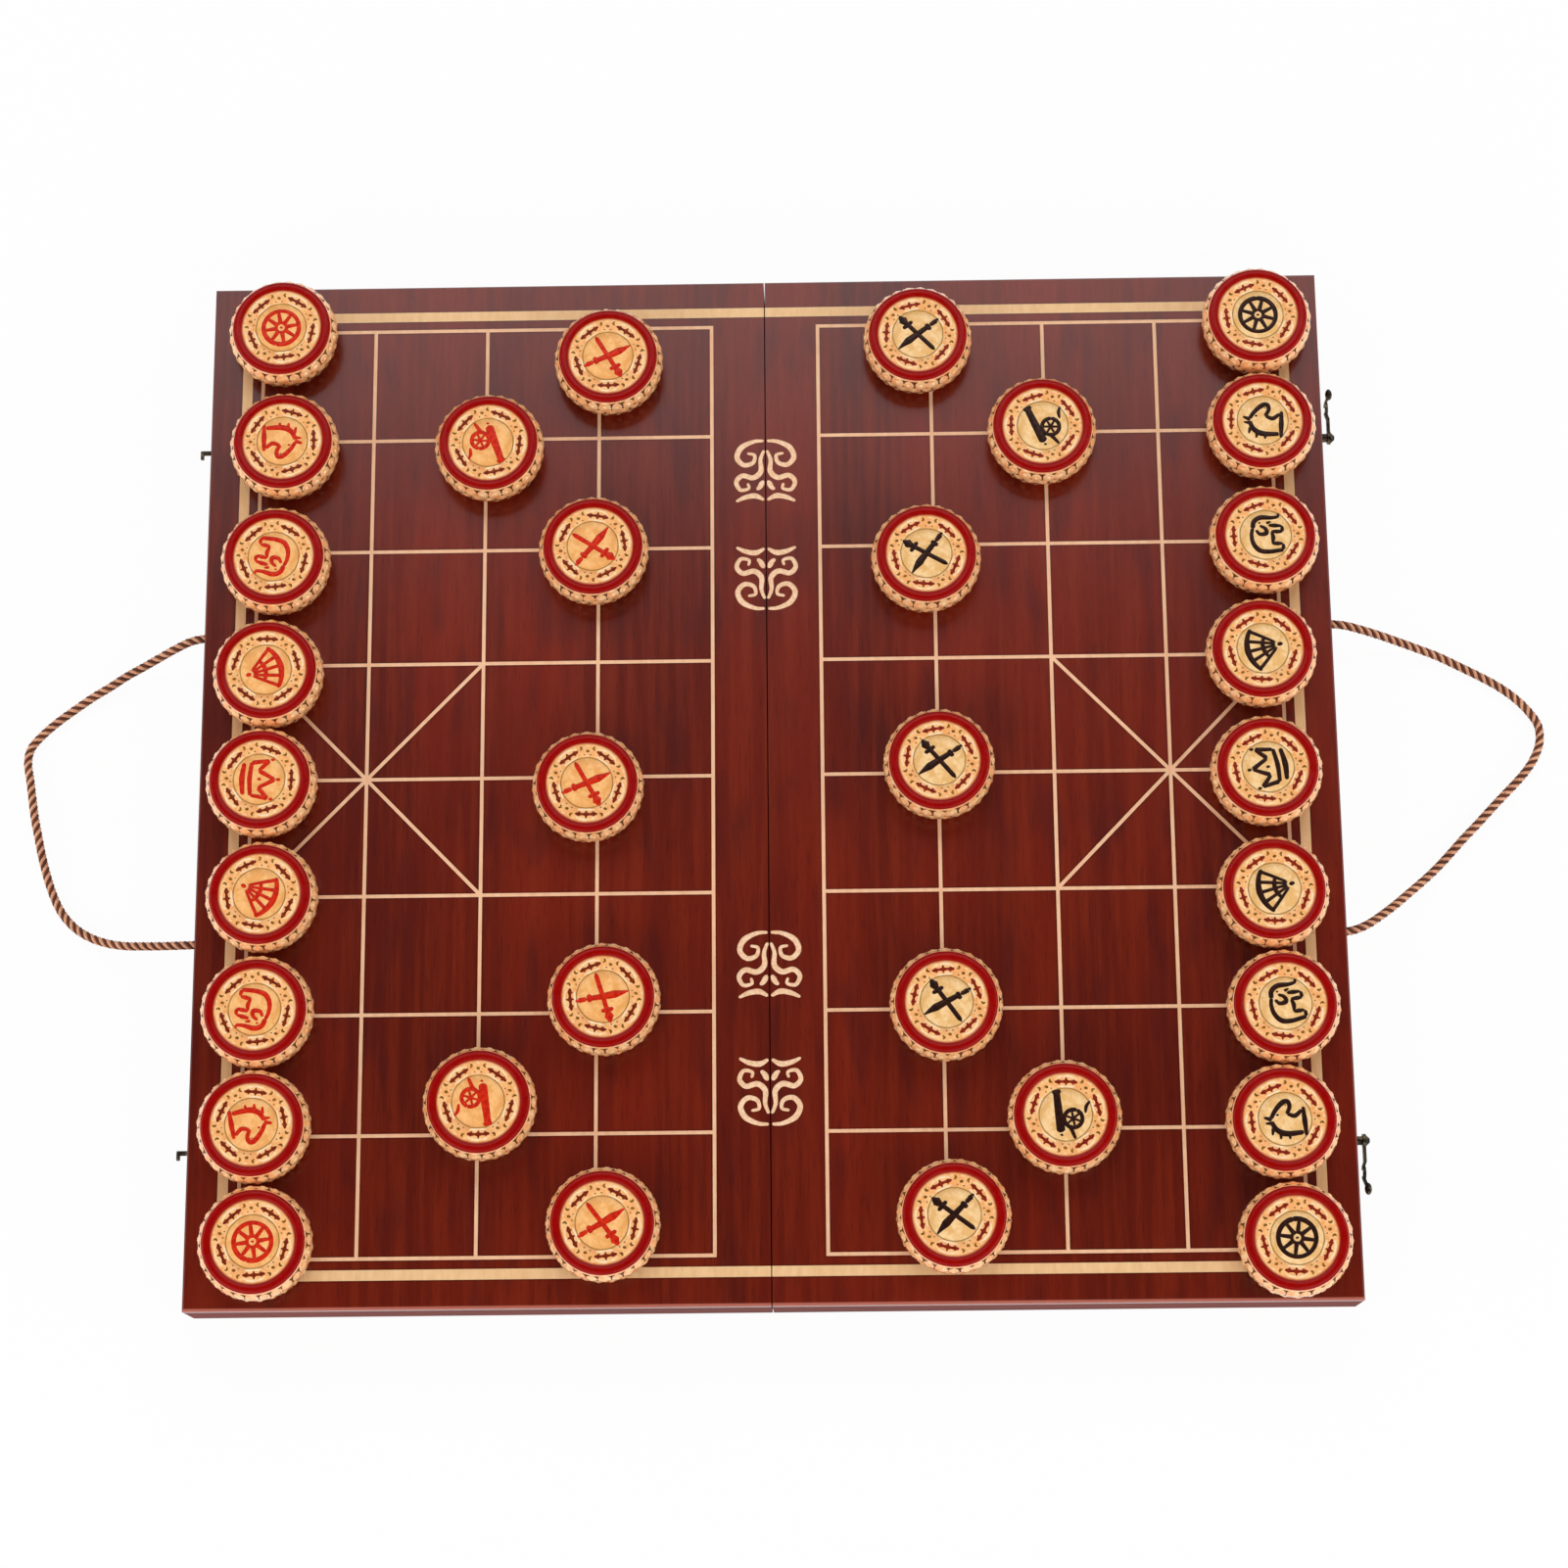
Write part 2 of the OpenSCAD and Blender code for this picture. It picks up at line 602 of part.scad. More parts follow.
board_panel(-1);  // left_board_panel
board_panel(1);  // right_board_panel
grid_lines(-1);  // left_grid_lines
grid_lines(1);  // right_grid_lines
outer_wall(-1);  // left_outer_wall
hinge_wall(-1);  // left_hinge_wall
end_wall(-1, -1);  // left_front_wall
end_wall(-1, 1);  // left_back_wall
outer_wall(1);  // right_outer_wall
hinge_wall(1);  // right_hinge_wall
end_wall(1, -1);  // right_front_wall
end_wall(1, 1);  // right_back_wall
hinge_leaves(-1);  // left_hinge_leaves
hinge_leaves(1);  // right_hinge_leaves
hinge_pins();
hinge_screws(-1);  // left_hinge_screws
hinge_screws(1);  // right_hinge_screws
latch_bases();
nails(1);  // latch_nails
front_latch_hook();
back_latch_hook();
latch_catches();
nails(-1);  // catch_nails
rope_handle(-1, LEFT_ROUTE);  // left_rope_handle
rope_handle(1, RIGHT_ROUTE);  // right_rope_handle
rope_knots(-1);  // left_rope_knots
rope_knots(1);  // right_rope_knots
for (p = PIECES) chess_piece(p);
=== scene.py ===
# %% [markdown]
# # A folding xiangqi box
# The box is two shallow wooden trays on hinges. Laid open and face down, their outsides make one board,
# and 32 turned pieces stand on it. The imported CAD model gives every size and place, so this lesson adds
# what a CAD model lacks: lacquered veneer, inlaid lines, carved and painted pieces, and laid rope.

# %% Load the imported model
from math import cos, hypot, pi, radians, sin, sqrt

import bpy
from mathutils import Matrix, Vector


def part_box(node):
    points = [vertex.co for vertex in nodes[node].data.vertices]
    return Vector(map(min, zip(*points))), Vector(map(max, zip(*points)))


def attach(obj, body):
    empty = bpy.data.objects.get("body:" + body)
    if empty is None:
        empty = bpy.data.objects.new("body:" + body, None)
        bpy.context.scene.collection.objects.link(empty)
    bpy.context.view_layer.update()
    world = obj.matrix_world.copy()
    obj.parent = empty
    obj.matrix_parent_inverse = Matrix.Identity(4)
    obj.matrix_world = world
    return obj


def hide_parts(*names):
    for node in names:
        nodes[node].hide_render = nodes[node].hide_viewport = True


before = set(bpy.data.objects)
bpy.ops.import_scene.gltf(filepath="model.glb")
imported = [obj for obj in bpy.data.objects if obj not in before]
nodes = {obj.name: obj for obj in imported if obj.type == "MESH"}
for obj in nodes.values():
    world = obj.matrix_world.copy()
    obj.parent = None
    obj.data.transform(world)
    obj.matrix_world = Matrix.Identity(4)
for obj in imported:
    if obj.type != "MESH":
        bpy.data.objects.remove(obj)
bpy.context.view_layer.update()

MM = 0.001
print("CAD nodes:", len(nodes))

# %% [markdown]
# ## Where the camera stands
# The photograph looks down on the board from its front edge, 14 degrees off the vertical. Its lines meet
# a little towards the top, and those lines gave the lens and the place of the camera. The axes below are
# the camera's right, up and backward directions in the frame of the board.

# %% Camera
camera = bpy.data.objects.new("camera", bpy.data.cameras.new("camera"))
bpy.context.scene.collection.objects.link(camera)
camera.data.lens, camera.data.sensor_width = 78.70, 36.0
right, up, back = ((0.999825, -0.008564, -0.016641), (0.012371, 0.969628, 0.244271),
                   (0.014044, -0.244434, 0.969564))
camera.matrix_world = (Matrix.Translation(Vector((28.7, -378.9, 1517.85)) * MM)
                       @ Matrix((right, up, back)).transposed().to_4x4())
bpy.context.scene.camera = camera
print("camera height:", round(camera.location.z, 3))

# %% [markdown]
# ## Shader maths as plain expressions
# A node tree is hard to read as a list of links. The class below wraps a socket, so that adding or
# comparing two values adds the Math node for it. One method makes any other node: its settings come
# first, then the values or links of its sockets.

# %% A socket that takes part in expressions
class Flow:
    """A socket in a material's node tree, or the tree alone when socket is None."""

    def __init__(self, tree, socket=None):
        self.tree, self.socket = tree, socket

    def node(self, kind, inputs=None, out=0, **settings):
        made = self.tree.nodes.new(kind)
        for setting, value in settings.items():
            setattr(made, setting, value)
        for place, value in (inputs or {}).items():
            if isinstance(value, Flow):
                self.tree.links.new(value.socket, made.inputs[place])
            else:
                made.inputs[place].default_value = value
        return Flow(self.tree, made.outputs[out])

    def math(self, operation, *values):
        return self.node("ShaderNodeMath", dict(enumerate(values)), operation=operation)

    def __add__(self, other):
        return self.math("ADD", self, other)

    def __sub__(self, other):
        return self.math("SUBTRACT", self, other)

    def __rsub__(self, other):
        return self.math("SUBTRACT", other, self)

    def __mul__(self, other):
        return self.math("MULTIPLY", self, other)

    def __truediv__(self, other):
        return self.math("DIVIDE", self, other)

    def __lt__(self, other):
        return self.math("LESS_THAN", self, other)

    def __gt__(self, other):
        return self.math("GREATER_THAN", self, other)

    def __abs__(self):
        return self.math("ABSOLUTE", self)

    __radd__, __rmul__ = __add__, __mul__

    def least(self, other):
        return self.math("MINIMUM", self, other)

    def most(self, other):
        return self.math("MAXIMUM", self, other)

    def off_step(self, start, step):
        """The distance to the nearest of start, start + step, start + 2 step and so on."""
        return abs(self.math("FRACT", (self - start) / step + 0.5) - 0.5) * step

    def ease(self, low, high):
        """0 below low, 1 above high, and smooth between them."""
        return self.node("ShaderNodeMapRange", {0: self, 1: low, 2: high}, interpolation_type="SMOOTHSTEP")

    def mix(self, below, above):
        """The colour below where this mask is 0, and the colour above where it is 1."""
        return self.node("ShaderNodeMix", {0: self, 6: below, 7: above}, out=2, data_type="RGBA")

    def place(self):
        """The point in the object's own axes, in metres."""
        return self.node("ShaderNodeTexCoord", out=3)

    def axes(self):
        """x, y and z of the point."""
        split = self.node("ShaderNodeSeparateXYZ", {0: self.place()}).socket.node
        return [Flow(self.tree, socket) for socket in split.outputs]

    def noise(self, scale, detail=2.0, roughness=0.5):
        """Noise from 0 to 1, with a scale per metre for each axis."""
        point = self.node("ShaderNodeMapping", {0: self.place(), 3: scale})
        return self.node("ShaderNodeTexNoise", {"Vector": point, "Scale": 1.0, "Detail": detail,
                                                "Roughness": roughness})


def srgb(red, green, blue):
    """A colour as a painter reads it off a screen, 0 to 255, in the linear values of Blender."""
    def linear(value):
        value /= 255
        return value / 12.92 if value <= 0.04045 else ((value + 0.055) / 1.055) ** 2.4
    return (linear(red), linear(green), linear(blue), 1.0)


def finish(name, **even):
    """A new Principled material, and its shader. Values that are the same all over sit on its sockets."""
    material = bpy.data.materials.new(name)
    material.use_nodes = True
    shader = material.node_tree.nodes["Principled BSDF"]
    for socket, value in even.items():
        shader.inputs[socket.replace("_", " ")].default_value = value
    return material, Flow(material.node_tree), shader


def feed(shader, socket, flow):
    shader.id_data.links.new(flow.socket, shader.inputs[socket])


def bump(shader, height, depth, strength=1.0):
    """Lets a height, 0 to 1, raise the surface by depth metres."""
    flow = height.node("ShaderNodeBump", {"Height": height, "Distance": depth, "Strength": strength})
    feed(shader, "Normal", flow)


print("white is", srgb(255, 255, 255)[:3])

# %% [markdown]
# ## The field in numbers
# The inlaid lines are solids already. Their edges look darker on the real board, because the saw cut
# holds stain. To draw that, the veneer has to know where the lines run. RANK and FILE are the two
# spacings of the lines, and BANK is half the river's width. The border band starts beyond BAND_FROM
# outside the field, and its middle is BAND_OUT from it. The stain reaches STAIN into the veneer, and a
# painted highlight HIGHLIGHT_EDGE wide runs along the front top edge of the board.

# %% Sizes of the field
panel_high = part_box("right_board_panel")[1]
board_top, board_end, board_side = panel_high.z, panel_high.x, panel_high.y
RANK, FILE, BANK = 51.8 * MM, 53.5 * MM, 24.5 * MM
LINE, BAND, BAND_FROM, BAND_OUT = 1.6 * MM, 4.6 * MM, 3 * MM, 7.1 * MM
STAIN, HIGHLIGHT_EDGE = 1.1 * MM, 1.05 * MM
field_end, field_side = BANK + 4 * RANK, 4 * FILE
print("field", round(2 * field_end, 3), "by", round(2 * field_side, 3), "m")


def line_distance(flow):
    """Metres from a point of the board to the middle of the nearest inlaid line."""
    x, y = (abs(place) for place in flow.axes()[:2])
    outside_x = (x - field_end).most(BANK - x).most(0)
    outside_y = (y - field_side).most(0)
    from_rank = x.off_step(BANK, RANK)
    from_file = y.off_step(0, FILE)
    slope = hypot(FILE, RANK)
    lean = abs(abs(x - (field_end - RANK)) * (FILE / slope) - y * (RANK / slope))
    outside_palace = (y - FILE).most(0)
    return (from_rank.most(outside_y).most(outside_x)
            .least(from_file.most(outside_x).most(outside_y))
            .least(lean.most(outside_palace).most(outside_x)))


# %% [markdown]
# ## Mahogany veneer
# The board is a dark red veneer under thin lacquer. Seen close, it has three scales: bands as wide as a
# hand where the log was cut, streaks of a few millimetres, and short dark pores along the grain. Noise
# stretched along the grain gives all three, and the pores also dent the lacquer.

# %% Wood
def mahogany(name, grain, shine, rough, field=False):
    """Red stained wood. grain is 0 or 1, the axis that its fibres follow. field adds the stained edges
    of the lines and a painted highlight along the front top edge of the board."""
    material, flow, shader = finish(name, Specular_IOR_Level=shine)
    def along(wide, fine):
        """A scale per metre: few waves along the grain and many across it."""
        return tuple(fine if axis == grain else wide for axis in range(3))
    bands = flow.noise(along(26, 3), 1.0).ease(0.3, 0.7)
    streaks = flow.noise(along(260, 11), 3.0, 0.55)
    pores = flow.noise(along(1300, 110), 2.0, 0.5).ease(0.52, 0.74)
    colour = bands.mix(srgb(92, 21, 8), srgb(116, 28, 9))
    colour = (streaks.ease(0.38, 0.68) * 0.5).mix(colour, srgb(126, 38, 13))
    colour = (flow.noise(along(90, 22), 1.0).ease(0.5, 0.75) * 0.5).mix(colour, srgb(76, 20, 16))
    colour = (pores * 0.3).mix(colour, srgb(50, 11, 7))
    if field:
        edge = 1 - line_distance(flow).ease(LINE / 2, LINE / 2 + STAIN)
        x, y, z = flow.axes()
        band = abs((abs(x) - field_end).most(abs(y) - field_side) - BAND_OUT)
        edge = edge.most(1 - band.ease(BAND / 2, BAND / 2 + STAIN))
        colour = (edge * 0.45).mix(colour, srgb(58, 8, 2))
        # Painted highlight: a pale strip along the front top edge only, where the chamfer faces the front
        # lamps.
        rim = (board_top - z) - (abs(y) - board_side) - HIGHLIGHT_EDGE
        edge_highlight = (1 - rim.ease(0.0, 0.5 * MM)) * (z > board_top - 1.2 * MM) * (y < 0) * 0.8
        colour = edge_highlight.mix(colour, srgb(186, 104, 86))
    feed(shader, "Base Color", colour)
    feed(shader, "Roughness", streaks * 0.05 + rough)
    bump(shader, 1 - pores, 0.01 * MM, 0.15)
    return material


veneer = mahogany("lacquered_veneer", 1, 0.40, 0.20, field=True)
wall_long = mahogany("wall_wood_long", 1, 0.15, 0.45)
wall_end = mahogany("wall_wood_end", 0, 0.06, 0.5)
print("woods:", veneer.name, wall_long.name, wall_end.name)

# %% [markdown]
# ## Inlay
# The lines are a pale peach strip, and the border band is a wider strip of yellower wood. Both are one
# solid on each tray, so the colour changes with the distance from the field.

# %% Inlaid lines and band
def inlay():
    material, flow, shader = finish("inlaid_lines", Specular_IOR_Level=0.3)
    x, y = flow.axes()[:2]
    band = (abs(x) - field_end).most(abs(y) - field_side) > BAND_FROM
    grain = flow.noise((420, 120, 420), 3.0)
    peach = grain.mix(srgb(230, 168, 128), srgb(252, 208, 168))
    yellow = grain.mix(srgb(226, 176, 122), srgb(250, 210, 160))
    feed(shader, "Base Color", band.mix(peach, yellow))
    feed(shader, "Roughness", grain * 0.2 + 0.35)
    bump(shader, grain, 0.05 * MM, 0.4)
    return material


inlaid = inlay()
print("inlay:", inlaid.name)

# %% [markdown]
# ## Metals
# The hinges are plain brass, hidden under the rims. The latches are dark bronze with brighter rubbed
# spots. Both come from one recipe: a dull and a bright colour, mixed by blotches, with the roughness
# following the same blotches.

# %% Brass and bronze
def metal(name, dull, bright, rough):
    material, flow, shader = finish(name, Metallic=1.0)
    blotches = flow.noise((260, 260, 260), 4.0, 0.6).ease(0.38, 0.66)
    scratches = flow.noise((2400, 300, 900), 2.0)
    feed(shader, "Base Color", blotches.mix(dull, bright))
    feed(shader, "Roughness", rough - blotches * 0.12 + scratches * 0.1)
    bump(shader, scratches, 0.02 * MM, 0.4)
    return material


brass = metal("hinge_brass", srgb(150, 112, 54), srgb(206, 168, 96), 0.42)
bronze = metal("latch_bronze", srgb(40, 36, 32), srgb(112, 98, 78), 0.48)
print("metals:", brass.name, bronze.name)

# %% Finishes of the CAD nodes that stay
def dress(node, material):
    nodes[node].data.materials.clear()
    nodes[node].data.materials.append(material)


for side in ("left", "right"):
    dress(side + "_board_panel", veneer)
    dress(side + "_grid_lines", inlaid)
    for wall in ("outer", "hinge"):
        dress(f"{side}_{wall}_wall", wall_long)
    for wall in ("front", "back"):
        dress(f"{side}_{wall}_wall", wall_end)
    dress(side + "_hinge_leaves", brass)
    dress(side + "_hinge_screws", brass)
dress("hinge_pins", brass)
for node in ("latch_bases", "latch_catches", "latch_nails", "catch_nails", "front_latch_hook",
             "back_latch_hook"):
    dress(node, bronze)

# %% [markdown]
# ## Laid rope
# The handles are a cord of four strands, two brown and two pale, twisted together. A tube with painted
# stripes would look flat at its edge, so each strand is a tube of its own that winds round the middle
# line. The strands touch in the middle, and so their size follows from that of the rope.

# %% Rope helpers
def smooth_path(points, step):
    """Points about step apart on a smooth curve through the given points."""
    ends = [points[0] * 2 - points[1], *points, points[-1] * 2 - points[-2]]
    path = []
    for before, start, end, after in zip(ends, ends[1:], ends[2:], ends[3:]):
        count = max(1, round((end - start).length / step))
        for i in range(count):
            t = i / count
            path.append(0.5 * (2 * start + (end - before) * t
                               + (2 * before - 5 * start + 4 * end - after) * t ** 2
                               + (3 * start - before - 3 * end + after) * t ** 3))
    return path + [points[-1]]


def tube(path, radius, sides):
    """Vertices and faces of a round tube with closed ends."""
    verts, faces = [], []
    count = len(path)
    normal = None
    for i, point in enumerate(path):
        along = (path[min(i + 1, count - 1)] - path[max(i - 1, 0)]).normalized()
        if normal is None:
            normal = along.orthogonal()
        normal = (normal - along * normal.dot(along)).normalized()
        other = along.cross(normal)
        for k in range(sides):
            turn = 2 * pi * k / sides
            verts.append(point + (normal * cos(turn) + other * sin(turn)) * radius)
    for i in range(count - 1):
        for k in range(sides):
            a, b = i * sides + k, i * sides + (k + 1) % sides
            faces.append((a, b, b + sides, a + sides))
    return verts, faces + [tuple(reversed(range(sides))), tuple(range((count - 1) * sides, count * sides))]


def strand_paths(path, rope_radius, lay, strands=4):
    """The middle lines of the strands that wind round a path, and the radius of a strand."""
    strand_radius = rope_radius / (1 + sqrt(2))
    lines = [[] for _ in range(strands)]
    normal, travelled = None, 0.0
    for i, point in enumerate(path):
        along = (path[min(i + 1, len(path) - 1)] - path[max(i - 1, 0)]).normalized()
        if normal is None:
            normal = Vector((0, 0, 1)).cross(along).normalized()
        normal = (normal - along * normal.dot(along)).normalized()
        other = along.cross(normal)
        if i:
            travelled += (point - path[i - 1]).length
        for k, line in enumerate(lines):
            turn = 2 * pi * (travelled / lay + k / strands)
            away = normal * cos(turn) + other * sin(turn)
            line.append(point + away * (rope_radius - strand_radius))
    return lines, strand_radius


class Build:
    """Vertices, faces and the material slot of each face, gathered piece by piece."""

    def __init__(self):
        self.verts, self.faces, self.slots = [], [], []

    def add(self, verts, faces, slot=0):
        first = len(self.verts)
        self.verts += [tuple(v) for v in verts]
        self.faces += [tuple(first + i for i in face) for face in faces]
        self.slots += [slot] * len(faces)

    def mesh(self, name, materials):
        mesh = bpy.data.meshes.new(name)
        mesh.from_pydata(self.verts, [], self.faces)
        for material in materials:
            mesh.materials.append(material)
        mesh.polygons.foreach_set("material_index", self.slots)
        mesh.polygons.foreach_set("use_smooth", [True] * len(self.faces))
        mesh.update()
        return mesh


def show(name, mesh):
    """A new object in the scene for that mesh."""
    made = bpy.data.objects.new(name, mesh)
    bpy.context.scene.collection.objects.link(made)
    return made


# %% [markdown]
# ## Cord colours
# Brown and pale threads are both dull and a little fuzzy. Fine noise across the strand stands for the
# single threads.

# %% Cord finishes
def thread(name, dark, pale):
    material, flow, shader = finish(name, Specular_IOR_Level=0.2, Sheen_Weight=0.15)
    fibres = flow.noise((2600, 2600, 2600), 2.0)
    soiling = flow.noise((60, 60, 60), 2.0)
    feed(shader, "Base Color", (fibres * 0.7 + soiling * 0.3).ease(0.35, 0.65).mix(dark, pale))
    feed(shader, "Roughness", fibres * 0.2 + 0.7)
    bump(shader, fibres, 0.12 * MM, 0.6)
    return material


brown_thread = thread("brown_thread", srgb(66, 30, 18), srgb(120, 66, 40))
pale_thread = thread("pale_thread", srgb(200, 132, 98), srgb(240, 184, 148))

# %% [markdown]
# ## The two handles
# Each rope starts at its knot inside the tray, goes out through the wall, lies down on the table in one
# open loop, and goes back in. The middle lines are the ones that the CAD solids follow. They are given
# here as the distance from the outer wall, the place along it and the height, all in millimetres.

# %% Rope routes
ENDS = [(-10, 71.5, 16.85), (0, 71.5, 16.85)]
LEFT_ROUTE = ENDS + [
    (8, 70.5, 16.6), (16, 67.5, 14.8), (24, 64, 12), (32, 60.5, 9), (40, 57, 6.3), (48, 52.5, 4.2),
    (56, 48, 3), (64, 42.5, 2.4), (72, 36.5, 2.2), (79, 30, 2.3), (83.5, 24, 2.6), (84.5, 17, 3),
    (83, 9, 3.6), (81.5, 0, 4.1), (80, -9, 4.1), (78, -18, 3.9), (76, -27, 3.4), (73.5, -36, 2.8),
    (70.5, -44.5, 2.4), (66.5, -52.5, 2.2), (60.5, -59.5, 2.4), (53, -64.5, 3), (44.5, -67.7, 4.4),
    (36, -69.5, 6.8), (28, -70.3, 9.8), (20, -71, 12.9), (12, -71.4, 15.4), (5, -71.5, 16.6),
    (0, -71.5, 16.85), (-10, -71.5, 16.85)]
RIGHT_ROUTE = ENDS + [
    (8, 70.8, 16.5), (16.5, 69, 14.6), (25, 67.2, 11.4), (34, 65, 8), (43, 62.4, 5.2), (52, 59.3, 3.4),
    (61, 55, 2.5), (70, 50.3, 2.2), (78.5, 45.3, 2.2), (86, 39.5, 2.3), (92, 33, 2.4), (96, 26, 2.6),
    (96, 18, 3), (93, 10.5, 3.5), (88.5, 4, 4), (83, -2, 4.2), (77, -8, 4.2), (71, -14.2, 4),
    (65, -20.5, 3.4), (58.5, -27, 2.8), (52.5, -33.5, 2.5), (46, -40.2, 3), (39.5, -46.2, 4.6),
    (32.5, -52.2, 7.2), (25.5, -58.2, 10.4), (18.5, -63.6, 13.4), (12, -68, 15.4), (5.5, -70.8, 16.6),
    (0, -71.5, 16.85), (-10, -71.5, 16.85)]
ROPE_D, LAY = 4.0 * MM, 8.4 * MM


def rope_piece(name, path, diameter, lay, materials):
    """A piece of four strands round a path, brown and pale in turn."""
    build = Build()
    lines, radius = strand_paths(path, diameter / 2, lay)
    for k, line in enumerate(lines):
        build.add(*tube(line, radius, 8), slot=k % 2)
    return build.mesh(name, materials)


# %% [markdown]
# ## Knots
# Inside each tray the rope ends in an overhand knot. Its line is a trefoil, the closed curve that an
# overhand knot becomes when its ends are joined, drawn in until it fits the space of the CAD knot. A
# short tail sticks out of it.

# %% Build ropes and knots
def knot_lines(centre, inward):
    """The line of a tight knot that sits against the wall, and that of its tail."""
    turns = []
    for i in range(73):
        t = 2 * pi * i / 72
        out = (2.15 + 1.0 * cos(3 * t)) * MM
        turns.append(centre + Vector((inward * (2.9 + 1.25 * sin(3 * t)) * MM, out * cos(2 * t),
                                      out * sin(2 * t))))
    tail = [centre + Vector((inward * x * MM, y * MM, z * MM))
            for x, y, z in ((2.5, 0, 0), (5, 0.4, -0.6), (8, 0.2, -1.8), (11, -0.6, -3.4))]
    return turns, smooth_path(tail, 0.6 * MM)


rope_materials = [brown_thread, pale_thread]
for side, sign, route in (("left", -1, LEFT_ROUTE), ("right", 1, RIGHT_ROUTE)):
    points = [Vector((sign * (board_end / MM + out), y, z)) * MM for out, y, z in route]
    path = smooth_path(points, 0.8 * MM)
    rope = show(side + "_rope", rope_piece(side + "_rope", path, ROPE_D, LAY, rope_materials))
    knots = Build()
    for end in (points[0], points[-1]):
        for line, width in zip(knot_lines(end, -sign), (3.0 * MM, 3.4 * MM)):
            strands, radius = strand_paths(line, width / 2, 6.5 * MM)
            for k, strand in enumerate(strands):
                knots.add(*tube(strand, radius, 6), slot=k % 2)
    knot = show(side + "_knots", knots.mesh(side + "_knots", rope_materials))
    for piece, node in ((rope, side + "_rope_handle"), (knot, side + "_rope_knots")):
        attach(piece, side + "_half")
        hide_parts(node)
    length = sum((b - a).length for a, b in zip(path, path[1:]))
    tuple(points[0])
    print(side, "rope:", round(length, 3), "m")

# %% [markdown]
# ## Brush strokes in relief
# Each piece carries a painted mark, and the paint stands a hair above the wood. A picture on the surface
# could not be seen from the side, so a stroke is a real, thin solid: a line with a width at every point,
# rounded at its ends and domed a little across.

# %% A stroke of thick paint
def stroke(points, widths=(0.9, 1.7, 1.1), height=0.3, bottom=17.35, bent=True):
    """A brush stroke through flat points. widths run from its start to its end. All in millimetres."""
    flat = [Vector((*point, 0)) for point in points]
    path = smooth_path(flat, 0.45) if bent else [flat[0].lerp(flat[1], i / 12) for i in range(13)]
    reach = [0.0]
    for before, after in zip(path, path[1:]):
        reach.append(reach[-1] + (after - before).length)
    verts, faces = [], []
    for i, point in enumerate(path):
        place = reach[i] / reach[-1] * (len(widths) - 1)
        k = min(int(place), len(widths) - 2)
        width = widths[k] + (widths[k + 1] - widths[k]) * (place - k)
        to_end = min(reach[i], reach[-1] - reach[i])
        half = width / 2 * min(1, 0.3 + 1.4 * sqrt(to_end / width))
        along = (path[min(i + 1, len(path) - 1)] - path[max(i - 1, 0)]).normalized()
        across = Vector((-along.y, along.x, 0))
        for side, rise in ((-1, 0), (-0.7, 0.8), (0, 1), (0.7, 0.8), (1, 0)):
            verts.append((point + across * half * side + Vector((0, 0, bottom + height * rise))) * MM)
    for i in range(len(path) - 1):
        for k in range(5):
            a, b = 5 * i + k, 5 * i + (k + 1) % 5
            faces.append((a, a + 5, b + 5, b))
    last = 5 * (len(path) - 1)
    return verts, faces + [tuple(range(5)), tuple(reversed(range(last, last + 5)))]


def spot(x, y, width, **how):
    """A round dab of paint."""
    return stroke(((x - width * 0.3, y), (x + width * 0.3, y)), (width, width), bent=False, **how)


def ring_points(radius, start, end, middle=(0, 0)):
    """Points on an arc between two angles in degrees."""
    count = max(4, round(abs(end - start) / 15))
    turns = [radians(start + (end - start) * i / count) for i in range(count + 1)]
    return [(middle[0] + radius * cos(turn), middle[1] + radius * sin(turn)) for turn in turns]


# %% [markdown]
# ## Seven marks
# A xiangqi piece usually carries its rank in writing. Here each rank has a small picture instead: a
# crown for the general, a folding fan for the advisor, then an elephant, a horse's head, a chariot
# wheel, a cannon, and crossed arms for the soldier. Each is a list of strokes, with up along Y.

# %% The pictures, in millimetres from the middle of the piece
def mark_line(points, widths=(0.9, 1.7, 1.1), **how):
    """A bold line of a mark."""
    return stroke(points, tuple(1.3 * width for width in widths), **how)


def crown():
    points = ((-7.4, -3.6), (-8.6, 4.2), (-3.9, -0.4), (0, 7), (3.9, -0.4), (8.6, 4.2), (7.4, -3.6))
    return [*[mark_line((start, end), (1.8, 1.3), bent=False) for start, end in zip(points, points[1:])],
            mark_line(((-7.6, -3.7), (0, -4.3), (7.6, -3.7)), (1.4, 1.8, 1.4)),
            mark_line(((-7.2, -7), (0, -7.7), (7.2, -7)), (1.5, 2.2, 1.5)),
            spot(0, 8.4, 2.2), spot(-9, 5.6, 2), spot(9, 5.6, 2), spot(0, 0, 2)]


def fan():
    ribs = []
    for turn in (radians(52 + 19 * i) for i in range(5)):
        inner, outer = ((reach * cos(turn), reach * sin(turn) - 7.8) for reach in (2, 14.6))
        ribs.append(mark_line((inner, outer), (1, 1.4), bent=False))
    return ribs + [mark_line(ring_points(14.6, 48, 132, (0, -7.8)), (1.4, 2.4, 1.4)),
                   mark_line(ring_points(7.6, 50, 130, (0, -7.8)), (1.2, 1.8, 1.2)), spot(0, -7.9, 2.8)]


